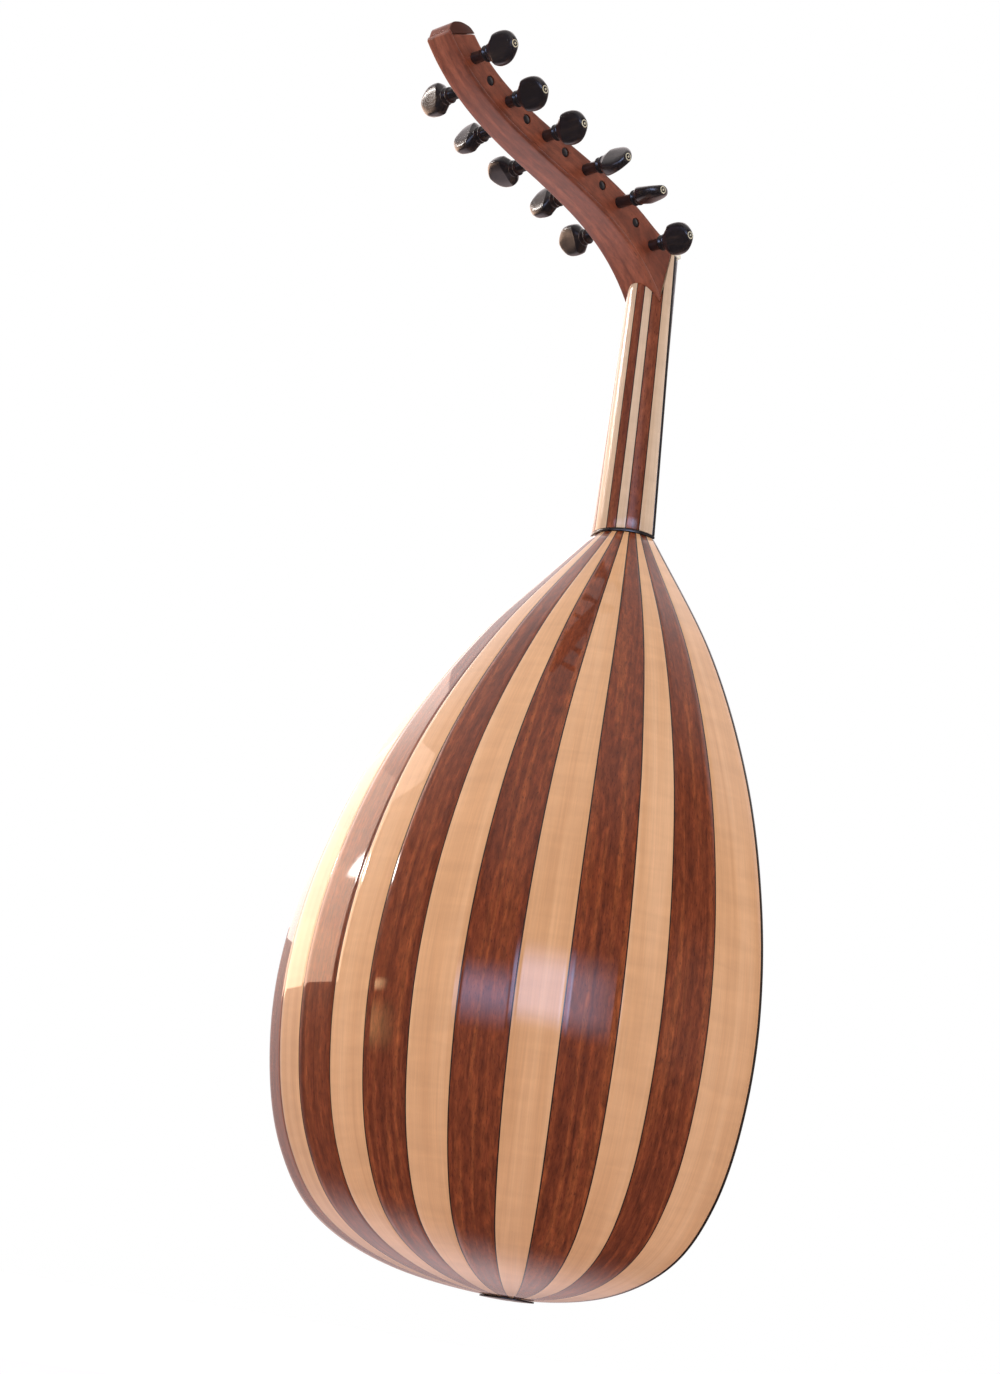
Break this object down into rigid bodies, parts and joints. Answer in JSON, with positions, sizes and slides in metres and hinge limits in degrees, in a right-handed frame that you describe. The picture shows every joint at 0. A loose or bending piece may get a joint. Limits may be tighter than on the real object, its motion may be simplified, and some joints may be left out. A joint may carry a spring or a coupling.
{
  "type": "turkish oud",
  "caption": "Pear-shaped fretless lute with a striped ribbed bowl, short neck and swept-back pegbox with turning pegs.",
  "frame": {"origin": "tail end of the bowl, in the plane where the soundboard meets the ribs, on the middle line", "axes": "+Z along the bowl and neck from the tail to the pegbox, -Y out of the soundboard, +X to the right seen from the front"},
  "size_m": [0.3268, 0.2485, 0.7584],
  "materials": {
    "lacquered_maple": "high gloss lacquer on pale figured maple",
    "lacquered_mahogany": "high gloss lacquer on red brown ribbon mahogany",
    "neck_stripes": "gloss lacquer on maple and mahogany strips",
    "pegbox_wood": "satin varnish on mahogany",
    "ebony": "polished ebony",
    "spruce": "thin satin varnish on spruce",
    "inner_wood": "bare linden",
    "rosette_wood": "pierced and waxed wood",
    "binding": "dark dyed wood strip",
    "bone": "polished bone",
    "string": "nylon and wound strings"
  },
  "bodies": {
    "lute": {"bridge": "ebony", "edge_binding": "binding", "end_cap": "ebony", "fingerboard": "ebony", "joint_band": "ebony", "neck_block": "inner_wood", "neck_core": "inner_wood", "neck_veneer": "neck_stripes", "nut": "bone", "pegbox_back": "pegbox_wood", "pegbox_end_block": "pegbox_wood", "pegbox_foot": "pegbox_wood", "pegbox_wall_left": "pegbox_wood", "pegbox_wall_right": "pegbox_wood", "plectrum_guard": "ebony", "rib_01": "lacquered_maple", "rib_02": "lacquered_mahogany", "rib_03": "lacquered_maple", "rib_04": "lacquered_mahogany", "rib_05": "lacquered_maple", "rib_06": "lacquered_mahogany", "rib_07": "lacquered_maple", "rib_08": "lacquered_mahogany", "rib_09": "lacquered_maple", "rib_10": "lacquered_mahogany", "rib_11": "lacquered_maple", "rib_12": "lacquered_mahogany", "rib_13": "lacquered_maple", "rib_14": "lacquered_mahogany", "rib_15": "lacquered_maple", "rib_16": "lacquered_mahogany", "rib_17": "lacquered_maple", "rosette_left": "rosette_wood", "rosette_main": "rosette_wood", "rosette_right": "rosette_wood", "soundboard": "spruce", "string_01": "string", "string_02": "string", "string_03": "string", "string_04": "string", "string_05": "string", "string_06": "string", "string_07": "string", "string_08": "string", "string_09": "string", "string_10": "string", "string_11": "string", "tail_block": "inner_wood"},
    "peg_01_body": {"peg_01": "ebony"},
    "peg_02_body": {"peg_02": "ebony"},
    "peg_03_body": {"peg_03": "ebony"},
    "peg_04_body": {"peg_04": "ebony"},
    "peg_05_body": {"peg_05": "ebony"},
    "peg_06_body": {"peg_06": "ebony"},
    "peg_07_body": {"peg_07": "ebony"},
    "peg_08_body": {"peg_08": "ebony"},
    "peg_09_body": {"peg_09": "ebony"},
    "peg_10_body": {"peg_10": "ebony"},
    "peg_11_body": {"peg_11": "ebony"}
  },
  "joints": [
    {"name": "peg_01_turn", "type": "hinge", "parent": "lute", "child": "peg_01_body", "pos_m": [0, 0.0302, 0.6901], "axis": [1, 0, 0], "continuous": true},
    {"name": "peg_02_turn", "type": "hinge", "parent": "lute", "child": "peg_02_body", "pos_m": [0, 0.04785, 0.69915], "axis": [1, 0, 0], "continuous": true},
    {"name": "peg_03_turn", "type": "hinge", "parent": "lute", "child": "peg_03_body", "pos_m": [0, 0.06554, 0.70559], "axis": [1, 0, 0], "continuous": true},
    {"name": "peg_04_turn", "type": "hinge", "parent": "lute", "child": "peg_04_body", "pos_m": [0, 0.08296, 0.7101], "axis": [1, 0, 0], "continuous": true},
    {"name": "peg_05_turn", "type": "hinge", "parent": "lute", "child": "peg_05_body", "pos_m": [0, 0.09982, 0.71331], "axis": [1, 0, 0], "continuous": true},
    {"name": "peg_06_turn", "type": "hinge", "parent": "lute", "child": "peg_06_body", "pos_m": [0, 0.12003, 0.71633], "axis": [1, 0, 0], "continuous": true},
    {"name": "peg_07_turn", "type": "hinge", "parent": "lute", "child": "peg_07_body", "pos_m": [0, 0.13868, 0.71891], "axis": [1, 0, 0], "continuous": true},
    {"name": "peg_08_turn", "type": "hinge", "parent": "lute", "child": "peg_08_body", "pos_m": [0, 0.15717, 0.72191], "axis": [1, 0, 0], "continuous": true},
    {"name": "peg_09_turn", "type": "hinge", "parent": "lute", "child": "peg_09_body", "pos_m": [0, 0.17429, 0.72569], "axis": [1, 0, 0], "continuous": true},
    {"name": "peg_10_turn", "type": "hinge", "parent": "lute", "child": "peg_10_body", "pos_m": [0, 0.19234, 0.73154], "axis": [1, 0, 0], "continuous": true},
    {"name": "peg_11_turn", "type": "hinge", "parent": "lute", "child": "peg_11_body", "pos_m": [0, 0.20823, 0.73926], "axis": [1, 0, 0], "continuous": true}
  ]
}
